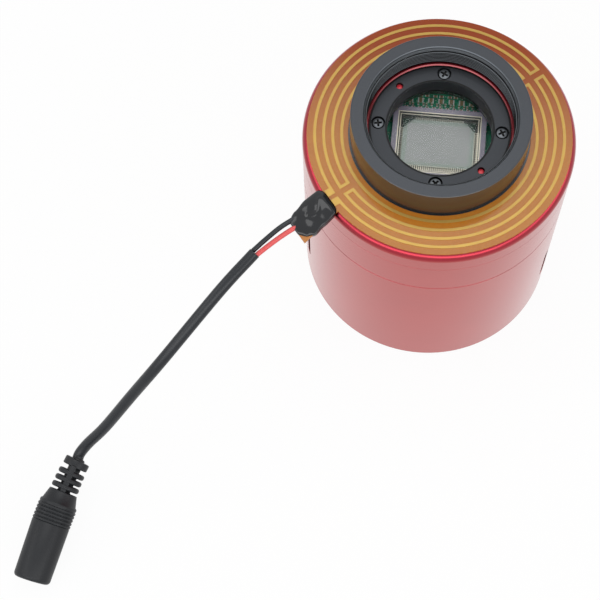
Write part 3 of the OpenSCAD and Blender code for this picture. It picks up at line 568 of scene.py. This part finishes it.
def cross_head():
    mat, shader, place = start("grey_zinc_cross_head", {"Metallic": 0.6, "Roughness": 0.4})
    axes = add(mat, "SeparateXYZ", {0: place})
    grain = add(mat, "TexNoise", {"Vector": place, "Scale": 1 / (0.3 * MM), "Detail": 3.0})
    face = add(mat, "Mix", {0: grain.outputs["Fac"], 6: linear("#565A5E"), 7: linear("#676B70")},
               data_type="RGBA")
    # The recess and the gap round the head, which lie lower than its face, are painted near black: painted
    # shade.
    low = add(mat, "MapRange", {"Value": axes.outputs["Z"], "From Min": HEAD_SHADE_HEIGHTS[0] * MM,
                                "From Max": HEAD_SHADE_HEIGHTS[1] * MM})
    recess_painted_shade = add(mat, "Mix", {0: low.outputs[0], 6: linear("#0C0D0E"), 7: face.outputs[2]}, data_type="RGBA")
    mat.node_tree.links.new(recess_painted_shade.outputs[2], shader.inputs["Base Color"])
    return mat


bm = bmesh.new()
for i, turn in enumerate((0.5, 1.1, 0.2, 0.8)):
    angle = math.pi / 2 * i
    at = (CELL_CIRCLE * math.cos(angle), CELL_CIRCLE * math.sin(angle), HEAD_TOP)
    cross_screw(bm, at, (1.7, 1.3), (0.95, 5.5), turn)
piece("cell_screw_heads", bm, cross_head(), "steel", "cell_screws", crease=30)

# %% [markdown]
# Two red pins line the cell up with the front plate. They end just below the cell's face, so only a red
# crescent shows in each hole. A pin is a short outline spun about its axis, with a rounded top.

# %% Alignment pins
bm = bmesh.new()
for angle in (135, -45):
    one = bmesh.new()
    turned(one, [(0, 77.95), (0.6, 77.9), (0.85, 77.8), (0.98, 77.6), (0.98, 76.3), (0, 76.3)], 32,
           closed=False)
    spot = Matrix.Rotation(math.radians(angle), 3, "Z") @ Vector((CELL_CIRCLE * MM, 0, 0))
    bmesh.ops.translate(one, verts=one.verts, vec=spot)
    merge(bm, one)
RED_PIN = grained("red_anodised_pin", "#C42431", "#D6303C", 0.4, 0.004, {"Metallic": 0.2}, (0.3, 0.4))
piece("cell_alignment_pins", bm, RED_PIN, "red_anodised")

# %% [markdown]
# ## Potted terminal
# Two wires are soldered to the heater's tab and the joint is sealed in black shrink wrap, pinched flat
# round it. A rounded block is subdivided and its points are moved: the outline narrows to the wires, the
# top sags between its edges, and a bent crease stands up where the wrap folded.

# %% Lines of the terminal
LEFT = [(-0.5, -3.4), (0.6, -4.0), (5.0, -3.8), (9.2, -2.8), (12.3, -1.7)]
RIGHT = [(-0.5, 4.4), (0.6, 5.0), (5.0, 5.6), (8.4, 6.3), (10.2, 5.6), (12.3, 3.9)]
TOP = [(-0.5, 1.5), (1.2, 2.2), (4.0, 2.3), (8.0, 1.8), (12.3, 1.3)]
CREASE = [(1.7, -1.3), (2.7, 0.0), (3.7, 1.5), (4.6, 2.0), (6.1, 1.7), (6.8, 0.9)]


def between(x, table):
    """Height at x of a smooth line through the table's points."""
    for (x0, y0), (x1, y1) in zip(table, table[1:]):
        if x <= x1:
            t = max(0.0, (x - x0) / (x1 - x0))
            t = t * t * (3 - 2 * t)
            return y0 + (y1 - y0) * t
    return table[-1][1]


def near(p, line):
    """Distance from a point to the nearest place on a line."""
    best = 9.0
    for a, b in zip(line, line[1:]):
        a, b = Vector(a), Vector(b)
        t = max(0.0, min(1.0, (p - a).dot(b - a) / (b - a).length_squared))
        best = min(best, (a + (b - a) * t - p).length)
    return best


print("terminal", TOP[-1][0] - TOP[0][0], "mm long")

# %% Terminal
TAB_AZ, BEND_R, BEND = math.radians(-141), 38.0, math.radians(12)
TAB = (Matrix.Rotation(TAB_AZ, 4, "Z") @ Matrix.Translation((BEND_R * MM, 0, 75 * MM))
       @ Matrix.Rotation(BEND, 4, "Y"))
MIDDLE, HALF, SQUARE = 5.9, 6.4, 9      # along the tab; a higher SQUARE gives sharper edges
FOLD_H, FOLD_W = 0.4, 0.6               # the crease's height and half width
DENT_AT, DENT_H, DENT_W2 = (3.0, 3.8), 0.25, 2.5
WAVE_H, WAVE = 0.04, 0.55               # unevenness of the skin, and waves in a millimetre
RIM_R, FILM_TOP = 39.06, 75.36          # inside this radius the wrap stays above the film
bm = bmesh.new()
bmesh.ops.create_cube(bm, size=2)
bmesh.ops.subdivide_edges(bm, edges=bm.edges[:], cuts=31, use_grid_fill=True)
for v in bm.verts:
    u, w, s = v.co
    squash = (abs(u) ** SQUARE + abs(w) ** SQUARE + abs(s) ** SQUARE) ** (1 / SQUARE)
    u, w, s = u / squash, w / squash, s / squash
    x = MIDDLE + HALF * u
    low, high = between(x, LEFT), between(x, RIGHT)
    y = (low + high) / 2 + (high - low) / 2 * w
    flat = max(0.0, 1 - abs(w) ** 2.2)
    z = s * between(x, TOP) * (0.5 + 0.5 * flat) - 0.1
    if s > 0:
        z += FOLD_H * math.exp(-(near(Vector((x, y)), CREASE) / FOLD_W) ** 2) * flat
        z -= DENT_H * math.exp(-((x - DENT_AT[0]) ** 2 + (y - DENT_AT[1]) ** 2) / DENT_W2)
    z += WAVE_H * noise.noise(Vector((x * WAVE, y * WAVE, s * 2)))
    v.co = Vector((x, y, z)) * MM
bmesh.ops.smooth_vert(bm, verts=bm.verts, factor=0.5, use_axis_x=True, use_axis_y=True, use_axis_z=True)
bmesh.ops.transform(bm, verts=bm.verts, matrix=TAB)
for v in bm.verts:
    if v.co.xy.length < RIM_R * MM:
        v.co.z = max(v.co.z, FILM_TOP * MM)
blob = piece("terminal_shrink_wrap", bm, POTTED, "black_moulding", "terminal", crease=80)

# %% [markdown]
# ## Lead
# Two thin wires leave the terminal and run into one round jacket, which hangs down to a moulded socket on
# the table. The photograph shows the whole lead, so its length is known. Each is a curve through the
# route's points with a round section.

# %% Strand along a route
def route(points, n=3):
    """Smooth curve through the points, with n steps between two of them."""
    p = [Vector(q) for q in points]
    p = [2 * p[0] - p[1]] + p + [2 * p[-1] - p[-2]]
    out = []
    for a, b, c, d in zip(p, p[1:], p[2:], p[3:]):
        for k in range(n):
            t = k / n
            out.append(0.5 * (2 * b + (c - a) * t + (2 * a - 5 * b + 4 * c - d) * t * t
                              + (3 * b - a - 3 * c + d) * t * t * t))
    return out + [p[-2]]


def strand(name, points, diameter, mat, node):
    """A round wire or cable along the points, which stands for a CAD node."""
    line = bpy.data.curves.new(name, "CURVE")
    line.dimensions = "3D"
    line.bevel_depth = diameter / 2 * MM
    line.bevel_resolution = 6
    line.use_fill_caps = True
    path = line.splines.new("POLY")
    path.points.add(len(points) - 1)
    for spot, p in zip(path.points, points):
        spot.co = (*(p * MM), 1)
    path.use_smooth = True
    line.materials.append(mat)
    made = bpy.data.objects.new(name, line)
    bpy.context.scene.collection.objects.link(made)
    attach(made, "camera")
    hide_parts(node)
    print(name, "length in mm", round(sum((b - a).length for a, b in zip(points, points[1:])), 1))
    return made


print("strand helper ready")

# %% Wires and jacket
RED_WIRE = route([(-36.9, -31.5, 73.2), (-40.5, -34.2, 72.6), (-44.4, -37.2, 71.2), (-47.9, -40.05, 69.6)], 5)
BLACK_WIRE = route([(-38.3, -29.5, 73.2), (-42, -32.4, 72.7), (-45.8, -35.9, 71.4), (-49.1, -38.9, 69.6)], 5)
JACKET = route([(-48.5, -39.45, 69.6), (-57.2, -49.8, 65.2), (-72.6, -67.2, 51.6), (-82.1, -74.3, 38),
                (-90.9, -80.6, 24.6), (-96.6, -84, 17.2), (-99.2, -86.6, 14.3), (-99.85, -88.6, 13.4)], 5)
red_wire = strand("red_wire", RED_WIRE, 1.45, RED_SKIN, "wire_red")
black_wire = strand("black_wire", BLACK_WIRE, 1.45, CABLE, "wire_black")
jacket = strand("jacket_lead", JACKET, 3.4, CABLE, "lead_jacket")

# %% [markdown]
# ## Moulded socket
# The lead ends in a soft moulded socket: a plain barrel, five fine grip rings, a cone, and a strain relief
# of flat discs on a core with a spine above and below, closed by a plate. The round parts are outlines spun
# about the socket's axis. The spines are rounded blocks. All are made upright and then laid where the CAD
# socket lies.

# %% Rounded block
def box(bm, size, place, soften=0.0, segments=2):
    """A block of that size in millimetres with its middle at a place, its edges rounded."""
    block = bmesh.ops.create_cube(bm, size=1)["verts"]
    bmesh.ops.scale(bm, vec=Vector(size) * MM, verts=block)
    bmesh.ops.translate(bm, vec=Vector(place) * MM, verts=block)
    if soften:
        edges = list({e for v in block for e in v.link_edges})
        bmesh.ops.bevel(bm, geom=edges, offset=soften * MM, segments=segments, profile=0.5, affect="EDGES",
                        material=-1)


print("block helper ready")

# %% Socket
LIE = (Matrix.Translation(Vector((-109.3, -124.8, 5.7)) * MM) @ Matrix.Rotation(math.radians(75.4), 4, "Z")
       @ Matrix.Rotation(math.radians(78.4), 4, "Y"))
SOCKET_L, NECK = 39, 28                 # its length, and where the strain relief starts
BOW, DROOP = 0.6, 0.0003                # the bow's height, and how fast the neck bends down
bm = bmesh.new()
grip = []
for i in range(5):
    z = 17.8 + 1.08 * i
    grip += [(5.68, z + 0.06), (5.92, z + 0.2), (5.95, z + 0.5), (5.92, z + 0.82), (5.68, z + 0.98)]
turned(bm, [(3.2, 10), (3.2, 0.5), (3.4, 0.12), (3.7, 0), (4.5, 0), (5.05, 0.16), (5.45, 0.55), (5.63, 1.1),
            (5.86, 17.5), (5.76, 17.72)] + grip
       + [(5.72, 23.3), (5.8, 23.5), (5.8, 23.9), (5.7, 24.2), (5.3, 24.5), (4.42, 27.55), (4.36, 27.78),
          (4.2, 27.9), (2.2, 27.92), (2.0, 28.2), (2.0, 38.6), (1.75, 38.9), (1.75, 36), (1.4, 30),
          (1.4, 10)], 96)
for i in range(3):
    z = 28.62 + 2.2 * i
    r = 4.3 - 0.1 * i
    turned(bm, [(1.9, z), (r - 0.5, z), (r - 0.16, z + 0.18), (r, z + 0.55), (r, z + 1.05),
                (r - 0.16, z + 1.42), (r - 0.5, z + 1.6), (1.9, z + 1.6)], 64)
turned(bm, [(1.75, 35.9), (3.5, 35.9), (3.74, 36.02), (3.82, 36.25), (3.82, 37.9), (3.74, 38.13),
            (3.5, 38.25), (1.75, 38.25)], 64)
for side in (1, -1):
    box(bm, (2.4, 1.7, 9.0), (side * 2.85, 0, 31.9), 0.35, 3)
# The moulding lies turned a little on its axis, and it is soft: it bows, and its neck follows the cable.
bmesh.ops.rotate(bm, verts=bm.verts, cent=(0, 0, 0), matrix=Matrix.Rotation(math.radians(10), 3, "Z"))
for v in bm.verts:
    z = v.co.z / MM
    neck = max(0.0, z - NECK)
    slope = BOW * math.pi / SOCKET_L * math.cos(math.pi * z / SOCKET_L) - 3 * DROOP * neck ** 2
    v.co.z -= v.co.y * slope
    v.co.y += (BOW * math.sin(math.pi * z / SOCKET_L) - DROOP * neck ** 3) * MM
bmesh.ops.transform(bm, verts=bm.verts, matrix=LIE)
socket = piece("inline_socket", bm, MOULDED, "black_cable", "socket_moulding", crease=40)

# %% [markdown]
# ## Sensor
# The sensor sits in a ceramic package. Its lit face is a thin sheet with two cut corners on darker silicon:
# two corners of a grid are bevelled, and the sheet is then extruded by a hair.

# %% Sensor face
die_lo, die_hi = (Vector(c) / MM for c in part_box("sensor_die"))
case_lo, case_hi = (Vector(c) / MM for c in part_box("sensor_package"))
CUT_CORNER = 3.2
bm = bmesh.new()
face = bmesh.ops.create_grid(bm, x_segments=1, y_segments=1, size=1)["verts"]
bmesh.ops.scale(bm, vec=((die_hi.x - die_lo.x) / 2 * MM, (die_hi.y - die_lo.y) / 2 * MM, 1), verts=face)
bmesh.ops.translate(bm, vec=Vector((0, 0, die_hi.z + 0.01)) * MM, verts=face)
far = [v for v in bm.verts if v.co.y > 0]
bmesh.ops.bevel(bm, geom=far, offset=CUT_CORNER * MM, segments=1, profile=0.5, affect="VERTICES", material=-1)
shelf = bmesh.ops.extrude_face_region(bm, geom=bm.faces[:])["geom"]
bmesh.ops.translate(bm, vec=(0, 0, 0.02 * MM), verts=[v for v in shelf if isinstance(v, bmesh.types.BMVert)])
piece("sensor_face", bm, PIXELS, "silicon")

# %% [markdown]
# Two gold frames run round the package's opening, one on its upper face and one on the step below it. Each
# is a sheet whose middle is inset and deleted. The frames are then extruded to the thickness of a plated
# layer.

# %% Gold frames
WALL_X, WALL_Y = 1.65, 1.7              # the package's walls
bm = bmesh.new()
for grow, wide, z in ((0.2, 0.3, case_hi.z + 0.01), (-0.45, 0.24, die_hi.z + 0.35)):
    sheet = bmesh.ops.create_grid(bm, x_segments=1, y_segments=1, size=1)["verts"]
    half = ((case_hi.x - case_lo.x) / 2 - WALL_X + grow, (case_hi.y - case_lo.y) / 2 - WALL_Y + grow)
    bmesh.ops.scale(bm, vec=(half[0] * MM, half[1] * MM, 1), verts=sheet)
    bmesh.ops.translate(bm, vec=Vector((0, 0, z)) * MM, verts=sheet)
    inner = sheet[0].link_faces[0]
    bmesh.ops.inset_region(bm, faces=[inner], thickness=wide * MM, use_even_offset=True, use_boundary=True)
    bmesh.ops.delete(bm, geom=[inner], context="FACES")
rim = bmesh.ops.extrude_face_region(bm, geom=bm.faces[:])["geom"]
bmesh.ops.translate(bm, vec=(0, 0, 0.03 * MM), verts=[v for v in rim if isinstance(v, bmesh.types.BMVert)])
piece("package_gold_frames", bm, GILT, "copper_foil")

# %% [markdown]
# Fine gold wires join the silicon's edges to the package, on all four sides and clear of the cut corners. A
# wire is a half ring, a small square spun half a turn. Real ones are about 0.03 mm thick, and are drawn
# thicker so that they show. Each row is made beside +X and then turned to its own side. Two of the rows
# also show their pads.

# %% Bond wires
SPACING, LOOP_R, WIRE_R = 0.58, 0.34, 0.09


def bond_row(bm, edge, count, quarter, pads, shift):
    """A row of wires beside the silicon's edge on +X, turned by quarter turns about the axis."""
    row = bmesh.new()
    for i in range(count):
        y = (i - (count - 1) / 2) * SPACING + shift
        spot = Vector((edge + 0.15, y, die_hi.z + 0.02)) * MM
        dot = bmesh.ops.create_circle(row, segments=4, radius=WIRE_R * MM)["verts"]
        bmesh.ops.translate(row, vec=spot + Vector((LOOP_R * MM, 0, 0)), verts=dot)
        bmesh.ops.spin(row, geom=dot + list({e for v in dot for e in v.link_edges}), cent=spot,
                       axis=(0, -1, 0), angle=math.pi, steps=6)
        if pads:
            box(row, (0.75, 0.3, 0.06), (edge + 0.72, y, die_hi.z + 0.3))
            box(row, (0.3, 0.3, 0.06), (edge - 0.2, y, die_hi.z + 0.05))
    quarter_turns = Matrix.Rotation(quarter * math.pi / 2, 3, "Z")
    bmesh.ops.rotate(row, verts=row.verts, cent=(0, 0, 0), matrix=quarter_turns)
    merge(bm, row)


rows = ((die_hi.x, 21, True, -1.45), (die_hi.y, 24, False, 0), (die_hi.x, 21, False, 1.45),
        (die_hi.y, 36, True, 0))
bm = bmesh.new()
for quarter, (edge, count, pads, shift) in enumerate(rows):
    bond_row(bm, edge, count, quarter, pads, shift)
piece("bond_wires", bm, GILT, "copper_foil")

# %% [markdown]
# ## Board parts
# Small ceramic parts stand in rows on the sensor's board. Each has a tinned cap at both ends, which is what
# catches the light. A cap is a small rounded block set over the end of its part.

# %% Tinned caps
board_top = case_lo.z
bm = bmesh.new()
for side in (1, -1):
    for i in range(-5, 6):
        for end in (1, -1):
            at = (i * 2 + end * 0.4, side * (case_hi.y + 1.6), board_top + 0.27)
            box(bm, (0.28, 0.64, 0.54), at, 0.05, 1)
    for i in range(-3, 4):
        for end in (1, -1):
            at = (i * 3 + end * 0.64, side * (case_hi.y + 4), board_top + 0.42)
            box(bm, (0.4, 1.24, 0.84), at, 0.06, 1)
            at = (side * (case_hi.x + 2.2), i * 2.4 + end * 0.48, board_top + 0.32)
            box(bm, (0.84, 0.3, 0.64), at, 0.05, 1)
piece("part_tin_caps", bm, SOLDER, "steel")

# %% Small parts between the rows
bm, ends = bmesh.new(), bmesh.new()
for side in (1, -1):
    for i in range(-8, 9):
        x = i * 1.32 + 0.22 * ((i * 7) % 3 - 1)
        y = side * (case_hi.y + 2.75 + 0.16 * ((i * 5) % 3 - 1))
        box(bm, (0.5, 0.62, 0.42), (x, y, board_top + 0.21))
        for end in (1, -1):
            box(ends, (0.56, 0.24, 0.48), (x, y + end * 0.38, board_top + 0.24), 0.04, 1)
    for i in range(-5, 6):
        x = i * 2.1 + 0.3 * ((i * 3) % 2)
        y = side * (case_hi.y + 5.7)
        box(bm, (0.9, 0.5, 0.4), (x, y, board_top + 0.2))
        for end in (1, -1):
            box(ends, (0.26, 0.56, 0.46), (x + end * 0.5, y, board_top + 0.23), 0.04, 1)
piece("small_ceramic_parts", bm, CERAMIC_CHIP, "board_parts")
piece("small_tin_caps", ends, SOLDER, "steel")

# %% [markdown]
# ## Floor and light
# A wide pale floor and an even sky stand for a light tent, which is what metal needs to look like metal. A
# panel above gives the film its soft sheen. Long low panels in front and at both sides draw the bright
# lines along the rim and the lead. Floor and sky turn white for the camera and for what metal and glass
# show of them, and the floor keeps part of its shadow.

# %% Floor
def shown(owner):
    """Is 1 for rays that show the background: from the camera, off a gloss or through glass."""
    rays = add(owner, "LightPath")
    seen = add(owner, "Math", {0: rays.outputs["Is Camera Ray"], 1: rays.outputs["Is Glossy Ray"]},
               operation="MAXIMUM")
    seen = add(owner, "Math", {0: seen.outputs[0], 1: rays.outputs["Is Transmission Ray"]},
               operation="MAXIMUM")
    return seen.outputs[0]


bm = bmesh.new()
bmesh.ops.create_grid(bm, x_segments=1, y_segments=1, size=3)
mesh = bpy.data.meshes.new("floor")
bm.to_mesh(mesh)
bm.free()
floor = bpy.data.objects.new("floor", mesh)
floor.location.z = -0.0002
bpy.context.scene.collection.objects.link(floor)
mat, shader, place = start("white_table", {"Base Color": linear("#F6F6F6"), "Roughness": 0.8})
WHITE_SHARE = 0.94                      # the rest is lit floor, with the shadow
share = add(mat, "Math", {0: shown(mat), 1: WHITE_SHARE}, operation="MULTIPLY")
white = add(mat, "Emission", {"Color": (1, 1, 1, 1), "Strength": 1.0})
both = add(mat, "MixShader", {0: share.outputs[0], 1: shader.outputs[0], 2: white.outputs[0]})
mat.node_tree.links.new(both.outputs[0], mat.node_tree.nodes["Material Output"].inputs["Surface"])
mesh.materials.append(mat)
print("floor laid")

# %% Sky and panels
sky = bpy.data.worlds.new("light_tent")
sky.use_nodes = True
bpy.context.scene.world = sky
level = add(sky, "MapRange", {"Value": shown(sky), "To Min": 0.3, "To Max": 1.0})
glow = sky.node_tree.nodes["Background"]
glow.inputs["Color"].default_value = (1, 1, 1, 1)
sky.node_tree.links.new(level.outputs[0], glow.inputs["Strength"])


def panel(name, at, aim_at, size, radiance):
    """A rectangular lamp in metres; its power follows from its size and brightness."""
    light = bpy.data.lights.new(name, "AREA")
    light.shape, light.size, light.size_y = "RECTANGLE", size[0], size[1]
    light.energy = radiance * math.pi * size[0] * size[1]
    made = bpy.data.objects.new(name, light)
    made.location = at
    made.rotation_euler = (Vector(aim_at) - Vector(at)).to_track_quat("-Z", "Y").to_euler()
    bpy.context.scene.collection.objects.link(made)
    print(name, "power", round(light.energy, 2))


panel("panel_above", (-0.05, 0.14, 0.75), (-0.05, 0.14, 0), (0.6, 0.54), 2.0)
panel("panel_front", (0.0, -0.8, 0.6), (0, 0, 0.06), (1.8, 0.36), 2.6)
panel("panel_left", (-0.85, -0.15, 0.6), (0, 0, 0.06), (1.0, 0.3), 1.8)
panel("panel_right", (0.85, -0.15, 0.6), (0, 0, 0.06), (1.0, 0.3), 1.8)

# %% [markdown]
# ## End

# %% Finish
print("scene built")
